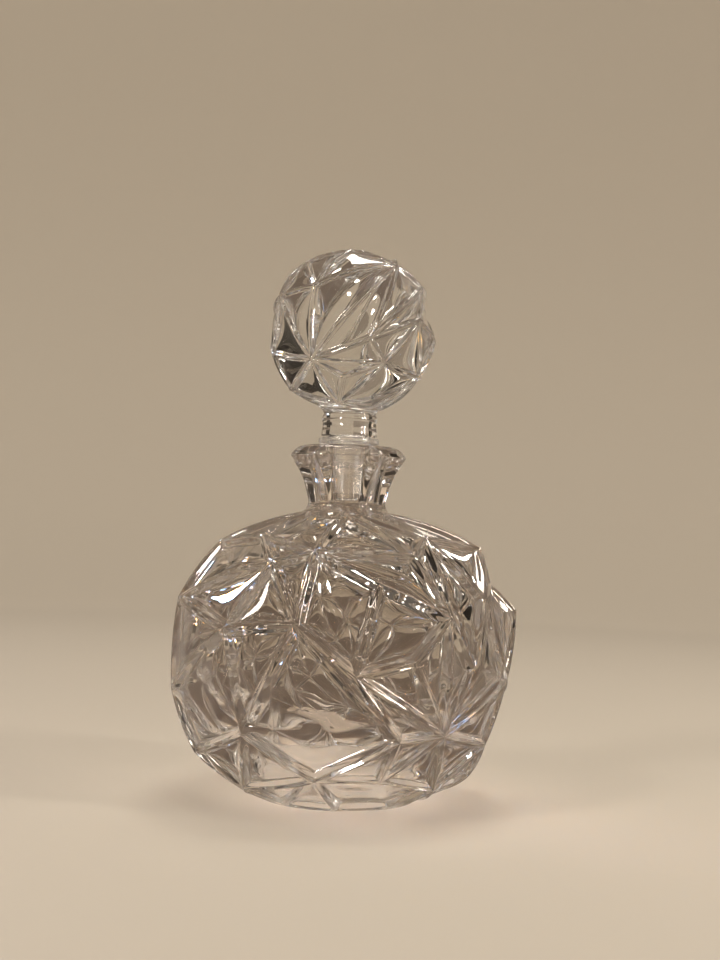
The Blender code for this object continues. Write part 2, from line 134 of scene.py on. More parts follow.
# Star points on the front, as (azimuth, height angle) in degrees: azimuth 0 is the front and grows to
# the right. A third number is the star's own lift. The back is filled in at random.
BODY_STARS = {
    "brow_left": (-12, 44),
    "brow_right": (30, 43),
    "brow_middle": (13, 31),
    "arch_top": (-43, 51),
    "column_left": (-28, 39),
    "column_foot": (-14, 17),
    "centre": (5, 1),
    "inner_right": (23, 6),
    "cheek_top": (37, 20),
    "cheek_foot": (35, -19),
    "right_shoulder": (48, 54),
    "right_rim": (82, 44, 0.07),
    "right_notch": (84, 32, -0.015),
    "right_knot": (57, 26),
    "right_bend": (45, 3),
    "right_edge": (72, -3),
    "far_right": (86, 20, 0.065),
    "left_knot": (-38, 14),
    "left_rim": (-78, 22),
    "left_arch": (-80, 46),
    "left_edge": (-84, -12),
    "left_foot": (-33, -22),
    "belly_foot": (20, -21),
    "base_right": (17, -38),
    "base_left": (-8, -38),
    "base_far_left": (-46, -47),
    "low_right": (65, -27),
    "base_far_right": (44, -43),
    "low_left": (-66, -33),
    "foot_right": (82, -43, 0.01),
}
BODY_RIDGES = [
    ("brow_left", "brow_right"),
    ("brow_left", "brow_middle", "cheek_top", "brow_right"),
    ("brow_right", "right_shoulder", "cheek_top", "cheek_foot"),
    ("right_shoulder", "right_rim", "right_knot", "right_shoulder"),
    ("right_knot", "right_bend", "cheek_foot", "right_edge", "right_knot"),
    ("right_rim", "right_notch", "far_right", "right_edge", "low_right", "cheek_foot"),
    ("right_notch", "right_knot"),
    ("low_right", "foot_right", "base_far_right"),
    ("brow_middle", "centre", "inner_right", "cheek_top"),
    ("inner_right", "cheek_foot", "centre", "column_foot", "brow_left"),
    ("column_foot", "belly_foot", "cheek_foot"),
    ("brow_left", "arch_top", "column_left", "column_foot", "left_knot"),
    ("brow_left", "column_left", "left_rim", "left_knot", "column_left"),
    ("arch_top", "left_arch", "left_rim", "left_edge", "left_knot", "left_foot", "column_foot"),
    ("belly_foot", "base_right", "base_left", "left_foot"),
    ("base_left", "belly_foot"),
    ("left_edge", "low_left", "left_foot", "base_far_left", "low_left"),
    ("base_left", "base_far_left"),
    ("cheek_foot", "base_right"),
    ("cheek_foot", "base_far_right", "base_right"),
    ("low_right", "base_far_right"),
]
BALL_STARS = {
    "upper_left": (-29, 25),
    "hub": (-29, -24),
    "top_right": (41, 45),
    "foot": (-14, -58),
    "lens_right": (24, -25),
    "right_hub": (12, -10),
    "lug_top": (53, 6),
    "crown": (-7, 64),
    "left_rim": (-63, 20),
    "left_low": (-75, -17),
    "low_left": (-66, -44),
    "low_right": (68, -32),
    "right_top": (65, 31),
    "far_right": (88, -4),
    "lens_foot": (-6, -36),
}
BALL_RIDGES = [
    ("upper_left", "hub", "top_right", "upper_left"),
    ("hub", "right_hub", "top_right", "right_top", "right_hub", "lug_top", "right_top"),
    ("hub", "lens_right", "lens_foot", "hub", "foot", "lens_foot"),
    ("lens_right", "foot", "low_right", "lens_right", "right_hub"),
    ("lens_right", "lug_top", "low_right", "far_right", "lug_top"),
    ("upper_left", "crown", "top_right"),
    ("upper_left", "left_rim", "hub", "left_low", "left_rim"),
    ("hub", "low_left", "foot"),
    ("left_low", "low_left"),
]


# ---------------------------------------------------------------- turned and panelled shapes


def on_circle(radius, height, turn):
    """A point on a level circle about the axis, where the turn is measured from the front."""
    return Vector((radius * math.sin(turn), -radius * math.cos(turn), height))


def full_circle(steps):
    """Even turns all the way round."""
    return [2 * math.pi * step / steps for step in range(steps)]


def panel_factor(turn):
    """Radius of a panelled section over its corner radius, with the corners slightly rounded off."""
    half_panel = math.pi / NECK_PANELS
    from_flat = (turn + half_panel) % (2 * half_panel) - half_panel
    return min(PANEL_CORNER, math.cos(half_panel) / math.cos(from_flat)) / PANEL_CORNER


def ring_turns(stars):
    """The turns round a ring at which a rock cut's facets meet it."""
    turns = []
    for star in range(stars):
        turns += [2 * math.pi * (star + share) / stars for share in side_shares(SIDE_STEPS)]
    return turns


def add_ring(mesh, radius, height, turns, panelled=0.0):
    """A ring of points, round at panelled 0 and fully panelled at 1, with a flat panel on the front."""
    points = []
    for turn in turns:
        reach = radius * (1.0 - panelled * (1.0 - panel_factor(turn)))
        points.append(mesh.verts.new(on_circle(reach, height, turn)))
    return points


def add_wall(mesh, rings, closed=False):
    """Join each ring to the next with quads, and the last to the first if it is a closed loop."""
    following = rings[1:] + (rings[:1] if closed else [])
    for lower, upper in zip(rings, following):
        for step in range(len(lower)):
            after = (step + 1) % len(lower)
            mesh.faces.new((lower[step], lower[after], upper[after], upper[step]))


def smooth_profile(corners, step):
    """(radius, height, ...) rows along straight runs between corners, rounded at each inner corner.

    Each corner is (rounding, values...), and the rows are at most about a step apart.
    """
    most_of_run = 0.48
    points = [Vector(corner[1:3]) for corner in corners]
    extras = [corner[3] if len(corner) > 3 else 0.0 for corner in corners]
    rows = [(points[0].x, points[0].y, extras[0])]
    for index in range(1, len(corners) - 1):
        before = points[index - 1] - points[index]
        after = points[index + 1] - points[index]
        reach = min(corners[index][0], most_of_run * before.length, most_of_run * after.length)
        start = points[index] + before.normalized() * reach
        end = points[index] + after.normalized() * reach
        count = max(2, int(2 * reach / step))
        rows.append((start.x, start.y, extras[index]))
        for part in range(1, count + 1):
            share = part / count
            inner = start.lerp(points[index], share).lerp(points[index].lerp(end, share), share)
            rows.append((inner.x, inner.y, extras[index]))
    rows.append((points[-1].x, points[-1].y, extras[-1]))
    filled = [rows[0]]
    for row in rows[1:]:
        last = filled[-1]
        gap = math.hypot(row[0] - last[0], row[1] - last[1])
        parts = max(1, round(gap / step))
        for part in range(1, parts + 1):
            share = part / parts
            filled.append(tuple(a + (b - a) * share for a, b in zip(last, row)))
    return filled


def bore_radius(height):
    """The neck's bore narrows evenly below the mouth."""
    return BORE_MOUTH_RADIUS - BORE_TAPER * (MOUTH_Z - height)


# ---------------------------------------------------------------- rock-cut shapes


def side_of(a, b, point):
    """Above 0 where the point is left of the great circle from a to b, seen from outside."""
    return a.cross(b).dot(point)


def side_shares(steps):
    """Even-handed shares along a facet's side, crowded towards both of its corners."""
    shares = []
    for step in range(steps):
        ahead = (step / steps) ** CORNER_CROWDING
        behind = (1.0 - step / steps) ** CORNER_CROWDING
        shares.append(ahead / (ahead + behind))
    return shares


class RidgeNet:
    """Ridges that join star points all over a unit sphere, and the facets between them.

    Star points stand on one or two level rings too, each given as (height, star count).
    """

    def __init__(self, ring_heights, seed):
        self.chooser = random.Random(seed)
        self.stars = []
        self.lifts = []
        self.on_ring = []
        self.index_of = {}
        self.third_corner = {}
        self.kept = set()
        for number, (height, count) in enumerate(ring_heights):
            level = math.sqrt(1.0 - height * height)
            for place in range(count):
                self.add_star(on_circle(level, height, 2 * math.pi * place / count), 0.0, (number, place))

    def add_star(self, towards, lift, place_on_ring=None):
        self.stars.append(towards)
        self.lifts.append(lift)
        self.on_ring.append(place_on_ring)

    def add_named_stars(self, named):
        for name, (azimuth, height, *own_lift) in named.items():
            self.index_of[name] = len(self.stars)
            level = math.cos(math.radians(height))
            towards = on_circle(level, math.sin(math.radians(height)), math.radians(azimuth))
            chance_lift = self.chooser.uniform(*STAR_LIFT)
            self.add_star(towards, own_lift[0] if own_lift else chance_lift)

    def fill_with_stars(self, spacing):
        """Star points at random wherever there is room for one between the rings."""
        ring_heights = [star.z for star, place in zip(self.stars, self.on_ring) if place]
        lowest = max([height for height in ring_heights if height < 0], default=-1.0)
        highest = min([height for height in ring_heights if height > 0], default=1.0)
        for _ in range(FILL_TRIES):
            height = self.chooser.uniform(lowest, highest)
            turn = self.chooser.uniform(0.0, 2 * math.pi)
            towards = on_circle(math.sqrt(1.0 - height * height), height, turn)
            if all(towards.angle(star) > spacing for star in self.stars):
                self.add_star(towards, self.chooser.uniform(*STAR_LIFT))

    def same_ring(self, indices):
        """Whether all these star points stand on one ring."""
        places = [self.on_ring[index] for index in indices]
        return all(places) and len({place[0] for place in places}) == 1

    def triangulate(self):
        """Join neighbouring star points by triangles that turn left, seen from outside."""
        mesh = bmesh.new()
        for star in self.stars:
            mesh.verts.new(star)
        mesh.verts.index_update()
        bmesh.ops.convex_hull(mesh, input=mesh.verts)
        for face in mesh.faces:
            a, b, c = (vertex.index for vertex in face.verts)
            if side_of(self.stars[a], self.stars[b], self.stars[c]) < 0:
                b, c = c, b
            if not self.same_ring((a, b, c)):
                self.set_triangle(a, b, c)
        mesh.free()

    def set_triangle(self, a, b, c):
        self.third_corner[a, b] = c
        self.third_corner[b, c] = a
        self.third_corner[c, a] = b

    def crosses(self, a, b, c, d):
        """Whether the ridge from a to b would cross the one from c to d."""
        if {a, b} & {c, d}:
            return False
        a, b, c, d = (self.stars[index] for index in (a, b, c, d))
        near = (a + b).dot(c + d) > 0
        return near and side_of(a, b, c) * side_of(a, b, d) < 0 and side_of(c, d, a) * side_of(c, d, b) < 0

    def force_ridge(self, a, b):
        """Turn triangle sides that lie across the way from a to b until one runs along it."""
        waiting = [key for key in sorted(self.third_corner) if key[0] < key[1] and self.crosses(a, b, *key)]
        while waiting:
            first, second = waiting.pop(0)
            third = self.third_corner[first, second]
            fourth = self.third_corner[second, first]
            if not self.crosses(third, fourth, first, second):
                waiting.append((first, second))
                continue
            del self.third_corner[first, second], self.third_corner[second, first]
            self.set_triangle(first, fourth, third)
            self.set_triangle(fourth, second, third)
            if self.crosses(a, b, third, fourth):
                waiting.append((third, fourth))

    def add_ridges(self, chains):
        """Force the chosen ridges, each chain of names being joined one to the next."""
        for chain in chains:
            for first, second in zip(chain, chain[1:]):
                a, b = self.index_of[first], self.index_of[second]
                self.force_ridge(a, b)
                self.kept.add((min(a, b), max(a, b)))

    def is_convex(self, loop):
        """Whether a facet never turns right by more than a trace."""
        trace = 0.004
        for index, corner in enumerate(loop):
            a, b, c = (self.stars[star] for star in (loop[index - 2], loop[index - 1], corner))
            if side_of(a, b, c) < -trace:
                return False
        return True

    def facets(self):
        """Erase ridges between triangles where that leaves a convex facet of few corners.

        Among the named star points every ridge goes that wasn't chosen, and elsewhere some do.
        """
        loop_of = {}
        for a, b in sorted(self.third_corner):
            c = self.third_corner[a, b]
            if a < min(b, c):
                loop = [a, b, c]
                loop_of[a, b] = loop_of[b, c] = loop_of[c, a] = loop
        named = set(self.index_of.values())
        sides = [key for key in sorted(self.third_corner) if key[0] < key[1] and key not in self.kept]
        self.chooser.shuffle(sides)
        for a, b in sides:
            chosen_out = a in named and b in named
            if self.same_ring((a, b)) or not (chosen_out or self.chooser.random() < ERASE_CHANCE):
                continue
            left, right = loop_of[a, b], loop_of[b, a]
            start, end = left.index(b), right.index(a)
            merged = left[start:] + left[:start] + (right[end:] + right[:end])[1:-1]
            if len(merged) != len(set(merged)) or len(merged) > MOST_CORNERS or not self.is_convex(merged):
                continue
            for first, second in zip(merged, merged[1:] + merged[:1]):
                loop_of[first, second] = merged
            del loop_of[a, b], loop_of[b, a]
        unique = {tuple(loop): loop for loop in loop_of.values()}
        return [unique[key] for key in sorted(unique)]


class Rock:
    """An ellipsoid about the axis, cut all over into scooped facets with raised ridges between them.

    It is open at one or two level rings, given as (radius, height, star count), which plain shapes join.
    """

    def __init__(self, radii, centre_z, rings, seed, flattening, cut):
        self.radii = radii
        self.flattening = flattening
        self.centre_z = centre_z
        self.rings = rings
        self.cut = cut
        heights = []
        for radius, height, count in rings:
            scaled = Vector((radius / radii[0], (height - centre_z) / radii[2]))
            heights.append((scaled.y / scaled.length, count))
        self.net = RidgeNet(heights, seed)

    def side_point(self, a, b, share):
        """(direction, reach) on the ridge from star a to star b, or on the ring that joins them."""
        net = self.net
        if net.same_ring((a, b)):
            radius, height, count = self.rings[net.on_ring[a][0]]
            first, second = net.on_ring[a][1], net.on_ring[b][1]
            step = (second - first + count // 2) % count - count // 2
            point = on_circle(radius, height - self.centre_z, 2 * math.pi * (first + step * share) / count)
            scaled = Vector([point[axis] / self.radii[axis] for axis in range(3)])
            direction = scaled.normalized()
            return direction, scaled.length / self.fullness(direction)
        flat = net.stars[a].lerp(net.stars[b], share)
        reach = 1.0 + self.lift(a) + (self.lift(b) - self.lift(a)) * share
        return flat.normalized(), reach * (1.0 - self.flattening * (1.0 - flat.length))

    def lift(self, star):
        """How far a star point stands above the ellipsoid, as a share."""
        place = self.net.on_ring[star]
        if place is None:
            return self.net.lifts[star]
        radius, height, _ = self.rings[place[0]]
        length = math.hypot(radius / self.radii[0], (height - self.centre_z) / self.radii[2])
        return length / self.fullness(self.net.stars[star]) - 1.0

    def facet_sides(self, loop):
        """(normal, offset) of each side's plane, so that normal.direction - offset is the gap from it."""
        sides = []
        for a, b in zip(loop, loop[1:] + loop[:1]):
            first, second = self.net.stars[a], self.net.stars[b]
            if self.net.same_ring((a, b)):
                upward = Vector((0.0, 0.0, math.copysign(1.0, -first.z)))
                level = math.hypot(first.x, first.y)
                sides.append((upward / level, upward.z * first.z / level))
            else:
                sides.append((first.cross(second).normalized(), 0.0))
        return sides

    def most_central(self, loop, sides):
        """The direction inside a facet that is furthest from its nearest side."""
        middle = sum((self.net.stars[corner] for corner in loop), Vector()).normalized()
        stride = 0.05
        strides = 60
        shortening = 0.9
        for _ in range(strides):
            normal, _ = min(sides, key=lambda side: side[0].dot(middle) - side[1])
            middle = (middle + stride * normal.normalized()).normalized()
            stride *= shortening
        return middle

    def uncut_reach(self, direction, loop, sides):
        """The reach of a facet before it is scooped, blended smoothly from all its corners.

        Each corner weighs most near itself and nothing on the sides that don't touch it.
        """
        gaps = [max(0.0, normal.dot(direction) - offset) for normal, offset in sides]
        flat = Vector()
        lift = 0.0
        total = 0.0
        for index, corner in enumerate(loop):
            weight = sides[index - 1][0].normalized().cross(sides[index][0].normalized()).length
            for other in range(1, len(loop) - 1):
                weight *= gaps[(index + other) % len(loop)]
            flat += weight * self.net.stars[corner]
            lift += weight * self.lift(corner)
            total += weight
        return (1.0 + lift / total) * (1.0 - self.flattening * (1.0 - flat.length / total))

    def share_inward(self, start, middle, sides, gap):
        """How far along from a facet's edge to its middle every side is at least this gap away."""
        share = 0.0
        for normal, offset in sides:
            here = normal.dot(start) - offset
            there = normal.dot(middle) - offset
            if here < gap < there:
                share = max(share, (gap - here) / (there - here))
        return share

    def scoop(self, direction, sides, middle):
        """How deep the glass is cut below the ridges: a steep flank beside each, then a shallow bowl."""
        crest, flank, flank_depth, bowl_depth = self.cut
        gaps = [max(LEAST_GAP, normal.dot(direction) - offset) for normal, offset in sides]
        middle_gaps = [max(LEAST_GAP, normal.dot(middle) - offset) for normal, offset in sides]
        nearest = self.radii[0] * min(gaps)
        inradius = self.radii[0] * min(middle_gaps)
        share = min(1.0, max(0.0, (nearest - crest) / flank))
        steep = share * share * (3.0 - 2.0 * share)
        bowl = len(sides) / sum(middle_gap / gap for middle_gap, gap in zip(middle_gaps, gaps))
        return min(flank_depth, FLANK_PER_INRADIUS * inradius) * steep + bowl_depth * inradius * bowl

    def fullness(self, direction):
        """The shoulders and the turn of the base are a little squarer than an ellipsoid's."""
        return 1.0 + FULLNESS * 4.0 * direction.z**2 * (1.0 - direction.z**2)

    def place(self, direction, reach):
        full_reach = reach * self.fullness(direction)
        point = Vector([direction[axis] * self.radii[axis] * full_reach for axis in range(3)])
        return point + Vector((0.0, 0.0, self.centre_z))

    def add_facet(self, mesh, loop):
        """One scooped facet, as rings of points that each keep one gap from its nearest side."""
        outline = []
        for a, b in zip(loop, loop[1:] + loop[:1]):
            outline += [self.side_point(a, b, share) for share in side_shares(SIDE_STEPS)]
        sides = self.facet_sides(loop)
        middle = self.most_central(loop, sides)
        inradius = min(normal.dot(middle) - offset for normal, offset in sides)
        mismatches = [reach - self.uncut_reach(direction, loop, sides) for direction, reach in outline]
        rings = []
        for step in range(INWARD_STEPS):
            gap = inradius * (step / INWARD_STEPS) ** EDGE_CROWDING
            least_inward = (step / INWARD_STEPS) ** 3
            ring = []
            for (direction, reach), mismatch in zip(outline, mismatches):
                if step:
                    inward = max(least_inward, self.share_inward(direction, middle, sides, gap))
                    direction = direction.lerp(middle, inward).normalized()
                    depth = self.scoop(direction, sides, middle) / self.radii[0]
                    reach = self.uncut_reach(direction, loop, sides) + mismatch * (1.0 - inward) ** 2 - depth
                ring.append(mesh.verts.new(self.place(direction, reach)))
            rings.append(ring)
        depth = self.scoop(middle, sides, middle) / self.radii[0]
        peak = mesh.verts.new(self.place(middle, self.uncut_reach(middle, loop, sides) - depth))
        add_wall(mesh, rings)
        for start, end in zip(rings[-1], rings[-1][1:] + rings[-1][:1]):
            mesh.faces.new((start, end, peak))

    def build(self, named_stars, ridges, spacing):
        """The open rock-cut surface as a bmesh."""
        self.net.add_named_stars(named_stars)
        self.net.fill_with_stars(spacing)
        self.net.triangulate()
        self.net.add_ridges(ridges)
        mesh = bmesh.new()
        for loop in self.net.facets():
            self.add_facet(mesh, loop)
        return mesh


# ---------------------------------------------------------------- materials


def new_shader(name):
    """A fresh material with its node tree and Principled shader."""
    material = bpy.data.materials.new(name)
    material.use_nodes = True
    tree = material.node_tree
    return material, tree, tree.nodes["Principled BSDF"]


def add_noise(tree, scale, detail):
    """Noise in object space, with its scale in bumps per metre."""
    place = tree.nodes.new("ShaderNodeTexCoord")
    texture = tree.nodes.new("ShaderNodeTexNoise")
    texture.inputs["Scale"].default_value = scale
    texture.inputs["Detail"].default_value = detail
    tree.links.new(place.outputs["Object"], texture.inputs["Vector"])
    return texture


def vary_roughness(tree, shader, texture, low, high):
    """Faint smears and rubbed patches in the polish, where the noise is above its middle."""
    spread = tree.nodes.new("ShaderNodeMapRange")
    spread.inputs["From Min"].default_value = 0.45
    spread.inputs["From Max"].default_value = 0.75
    spread.inputs["To Min"].default_value = low
    spread.inputs["To Max"].default_value = high
    tree.links.new(texture.outputs["Fac"], spread.inputs["Value"])
    tree.links.new(spread.outputs["Result"], shader.inputs["Roughness"])


def add_bump(tree, shader, texture, height):
    """Bump of the given real height in metres."""
    bump = tree.nodes.new("ShaderNodeBump")
    bump.inputs["Strength"].default_value = 1.0
    bump.inputs["Distance"].default_value = height
    tree.links.new(texture.outputs["Fac"], bump.inputs["Height"])
    tree.links.new(bump.outputs["Normal"], shader.inputs["Normal"])


def let_lamps_through(tree, shader, share):
    """Clear glass throws a pale shadow: each surface passes this share of a lamp's light."""
    output = tree.nodes["Material Output"]
    clear = tree.nodes.new("ShaderNodeBsdfTransparent")
    clear.inputs["Color"].default_value = (share, share, share, 1.0)
    path = tree.nodes.new("ShaderNodeLightPath")
    mix = tree.nodes.new("ShaderNodeMixShader")
    tree.links.new(path.outputs["Is Shadow Ray"], mix.inputs["Fac"])
    tree.links.new(shader.outputs["BSDF"], mix.inputs[1])
    tree.links.new(clear.outputs["BSDF"], mix.inputs[2])
    tree.links.new(mix.outputs["Shader"], output.inputs["Surface"])


def crystal_material(name, colour):
    """Fire-polished crystal: very clear, with a faint ripple and a few smears in the polish."""
    material, tree, shader = new_shader(name)
    shader.inputs["Base Color"].default_value = (*colour, 1.0)
    shader.inputs["IOR"].default_value = 1.54
    shader.inputs["Transmission Weight"].default_value = 1.0
    vary_roughness(tree, shader, add_noise(tree, 160.0, 5.0), 0.0, 0.035)
    add_bump(tree, shader, add_noise(tree, 420.0, 2.0), 0.012 * MM)
    let_lamps_through(tree, shader, SHADOW_SHARE)
    return material


def plastic_material(name):
    """Clear moulded plastic, a little milky and less even than the glass."""
    material, tree, shader = new_shader(name)
    shader.inputs["Base Color"].default_value = (0.95, 0.93, 0.89, 1.0)
    shader.inputs["IOR"].default_value = 1.5
    shader.inputs["Transmission Weight"].default_value = 0.92
    vary_roughness(tree, shader, add_noise(tree, 900.0, 3.0), 0.08, 0.2)
    add_bump(tree, shader, add_noise(tree, 1500.0, 2.0), 0.01 * MM)
    return material


def pale_material(name, colour, roughness):
    """Plain painted surface of the stage."""
    material, tree, shader = new_shader(name)
    shader.inputs["Base Color"].default_value = (*colour, 1.0)
    shader.inputs["Roughness"].default_value = roughness
    shader.inputs["Specular IOR Level"].default_value = 0.2
    return material


# ---------------------------------------------------------------- the pieces


def add_piece(name, mesh, material, body, replaced):
    """Turn a finished bmesh into a piece that rides on its body in place of its CAD node."""
    weld_distance = 0.002 * MM
    sharp_angle = math.radians(38)
    bmesh.ops.remove_doubles(mesh, verts=mesh.verts, dist=weld_distance)
    bmesh.ops.recalc_face_normals(mesh, faces=mesh.faces)
    data = bpy.data.meshes.new(name)
    mesh.to_mesh(data)
    mesh.free()
    data.shade_smooth()
    data.set_sharp_from_angle(angle=sharp_angle)
    data.materials.append(material)
    obj = bpy.data.objects.new(name, data)
    bpy.context.scene.collection.objects.link(obj)
    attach(obj, body)
    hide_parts(replaced)
    return obj


def outside_profile(shoulder_radius):
    """Rows (radius, height, panelled) up the neck and over the collar to the edge of the mouth."""
    corners = [
        (0.0, shoulder_radius, SHOULDER_Z, 0.0),
        (0.9 * MM, NECK_RADIUS, SHOULDER_Z + 1.4 * MM, 1.0),
        (4.0 * MM, NECK_RADIUS + 1.5 * MM, MOUTH_Z - 7.0 * MM, 1.0),
        (0.4 * MM, COLLAR_RADIUS - 0.3 * MM, MOUTH_Z - 2.9 * MM, 1.0),
        (0.35 * MM, COLLAR_RADIUS, MOUTH_Z - 2.3 * MM, 1.0),
        (2.4 * MM, COLLAR_RADIUS - 1.6 * MM, MOUTH_Z - 0.4 * MM, 0.9),
        (2.0 * MM, NECK_RADIUS + 0.4 * MM, MOUTH_Z, 0.3),
        (0.0, BORE_MOUTH_RADIUS + LIP, MOUTH_Z, 0.0),
    ]
    return smooth_profile(corners, 0.4 * MM)


def inside_profile():
    """Rows (radius, height, 0) down the bore and round the hollow to its floor."""
    foot_radius = bore_radius(BORE_FOOT_Z)
    rows = smooth_profile(
        [
            (0.0, BORE_MOUTH_RADIUS + LIP, MOUTH_Z),
            (0.4 * MM, BORE_MOUTH_RADIUS, MOUTH_Z - LIP),
            (0.0, foot_radius, BORE_FOOT_Z),
        ],
        0.5 * MM,
    )[1:]
    start = math.acos((foot_radius + 0.8 * MM) / HOLLOW_RADIUS)
    floor_end = -math.radians(62)
    wall_steps = 70
    for step in range(wall_steps + 1):
        angle = start + (floor_end - start) * step / wall_steps
        height = HOLLOW_CENTRE_Z + HOLLOW_HALF_HEIGHT * math.sin(angle)
        rows.append((HOLLOW_RADIUS * math.cos(angle), height, 0.0))
    floor_radius, floor_corner_z, _ = rows[-1]
    floor_steps = 12
    floor_reach = 0.95
    turn_quickness = 2.2
    for step in range(1, floor_steps + 1):
        share = step / floor_steps
        turn = 0.5 * math.pi * min(1.0, share * turn_quickness)
        drop = (floor_corner_z - FLOOR_THICKNESS) * math.sin(turn)
        rows.append((floor_radius * (1.0 - floor_reach * share), floor_corner_z - drop, 0.0))
    return rows


def ripple_hollow(vertex):
    """The hollow was blown, not cut, so its wall wanders a little where it is wide."""
    spread = 11.0 * MM
    fine_spread = 4.5 * MM
    depth = 0.9 * MM
    fine_depth = 0.25 * MM
    calm_radius = 6.0 * MM
    onset = 8.0 * MM
    across = Vector((vertex.co.x, vertex.co.y))
    inside = vertex.co.z < BORE_FOOT_Z - 1.0 * MM
    wide = min(1.0, max(0.0, (across.length - calm_radius) / onset))
    if inside and wide > 0.0:
        coarse = depth * noise.noise(vertex.co / spread)
        fine = fine_depth * noise.noise(vertex.co / fine_spread)
        push = wide * (coarse + fine)
        vertex.co.xy = across * (1.0 + push / across.length)


def build_bottle(crystal):
    """Rock-cut body, panelled neck and collar in one glass, hollowed through the mouth."""
    shoulder_radius = NECK_RADIUS + 0.8 * MM
    radii = (BODY_RADIUS, BODY_RADIUS, BODY_HALF_HEIGHT)
    rings = [(FOOT_RADIUS, 0.0, FOOT_STARS), (shoulder_radius, SHOULDER_Z, SHOULDER_STARS)]
    rock = Rock(radii, BODY_CENTRE_Z, rings, BODY_SEED, BODY_FLATTENING, BODY_CUT)
    mesh = rock.build(BODY_STARS, BODY_RIDGES, BODY_SPACING)
    mesh.faces.new(add_ring(mesh, FOOT_RADIUS, 0.0, ring_turns(FOOT_STARS)))
    turns = ring_turns(SHOULDER_STARS)
    rows = outside_profile(shoulder_radius) + inside_profile()
    rings = [add_ring(mesh, radius, height, turns, panelled) for radius, height, panelled in rows]
    for ring in rings:
        for vertex in ring:
            ripple_hollow(vertex)
    add_wall(mesh, rings)
    mesh.faces.new(rings[-1])
    return add_piece("bottle_crystal", mesh, crystal, "bottle", "bottle_body")


def build_stopper(crystal):
    """Rock-cut ball on its waisted shank and tapered plug."""
    plug_gap = 2 * CLEARANCE + LINER_WALL
    plug_top = bore_radius(MOUTH_Z) - plug_gap
    plug_foot = bore_radius(PLUG_END_Z) - plug_gap
    waist = 0.25 * MM
    radii = (BALL_RADIUS, BALL_RADIUS, BALL_RADIUS)
    rings = [(SHANK_RADIUS, SHANK_TOP_Z, SHANK_STARS)]
    rock = Rock(radii, BALL_CENTRE_Z, rings, BALL_SEED, BALL_FLATTENING, BALL_CUT)
    mesh = rock.build(BALL_STARS, BALL_RIDGES, BALL_SPACING)
    corners = [
        (0.0, SHANK_RADIUS, SHANK_TOP_Z),
        (0.3 * MM, SHANK_RADIUS - 2.0 * waist, SHANK_TOP_Z - 0.9 * MM),
        (0.4 * MM, SHANK_RADIUS, SHANK_TOP_Z - 1.8 * MM),
        (2.0 * MM, SHANK_RADIUS - waist, SHANK_BOTTOM_Z + 2.2 * MM),
        (0.5 * MM, SHANK_RADIUS, SHANK_BOTTOM_Z + 0.8 * MM),
        (0.3 * MM, SHANK_RADIUS, SHANK_BOTTOM_Z),
        (0.3 * MM, plug_top, SHANK_BOTTOM_Z),
        (0.9 * MM, plug_foot, PLUG_END_Z),
        (0.0, 0.3 * MM, PLUG_END_Z),
    ]
    turns = ring_turns(SHANK_STARS)
    rows = smooth_profile(corners, 0.3 * MM)
    rings = [add_ring(mesh, radius, height, turns) for radius, height, _ in rows]
    add_wall(mesh, rings)
    mesh.faces.new(rings[-1])
    return add_piece("stopper_crystal", mesh, crystal, "stopper", "stopper")


def build_liner(plastic):
    """Thin tapered tube in the mouth, with a rounded flange."""
    outer_top = bore_radius(MOUTH_Z) - CLEARANCE
    outer_foot = bore_radius(LINER_END_Z) - CLEARANCE
    edge = 0.35 * MM
    corners = [
        (0.0, outer_foot - 0.5 * LINER_WALL, LINER_END_Z),
        (0.2 * MM, outer_foot, LINER_END_Z),
        (0.2 * MM, outer_top, MOUTH_Z),
        (0.1 * MM, outer_top, FLANGE_BOTTOM_Z),
        (edge, FLANGE_RADIUS, FLANGE_BOTTOM_Z),
        (edge, FLANGE_RADIUS, FLANGE_TOP_Z),
        (0.2 * MM, outer_top - LINER_WALL, FLANGE_TOP_Z),
        (0.2 * MM, outer_foot - LINER_WALL, LINER_END_Z),
        (0.0, outer_foot - 0.5 * LINER_WALL, LINER_END_Z),
    ]
    mesh = bmesh.new()
    turns = full_circle(128)
    rows = smooth_profile(corners, 0.3 * MM)[:-1]
    rings = [add_ring(mesh, radius, height, turns) for radius, height, _ in rows]
    add_wall(mesh, rings, closed=True)
    return add_piece("liner_plastic", mesh, plastic, "liner", "stopper_sleeve")


# ---------------------------------------------------------------- stage, light and camera


def add_stage_piece(name, mesh, material):
    """Turn a finished bmesh into part of the stage, which doesn't belong to the bottle."""
    data = bpy.data.meshes.new(name)
    mesh.to_mesh(data)
    mesh.free()
    data.materials.append(material)
    obj = bpy.data.objects.new(name, data)
    bpy.context.scene.collection.objects.link(obj)
    return obj


def build_stage():
    """A pale floor that curves up into a plain wall all the way round."""
    wall_radius = 1.0
    curve = 0.45
    top = 1.3
    corners = [(0.0, 1.0 * MM, 0.0), (curve, wall_radius, 0.0), (0.0, wall_radius, top)]
    turns = full_circle(96)
    rows = smooth_profile(corners, 0.08)
    mesh = bmesh.new()
    rings = [add_ring(mesh, radius, height, turns) for radius, height, _ in rows]
    add_wall(mesh, rings)
    mesh.faces.new(rings[0])
    paint = pale_material("pale_paint", (0.485, 0.435, 0.365), 0.7)
    stage = add_stage_piece("pale_stage", mesh, paint)
    stage.data.shade_smooth()


def show_to_glass_only(screen):
    """Keep a screen out of the picture, the shadows and the stage's light, so that only glass shows it."""
    screen.visible_camera = False
    screen.visible_shadow = False
    screen.visible_diffuse = False


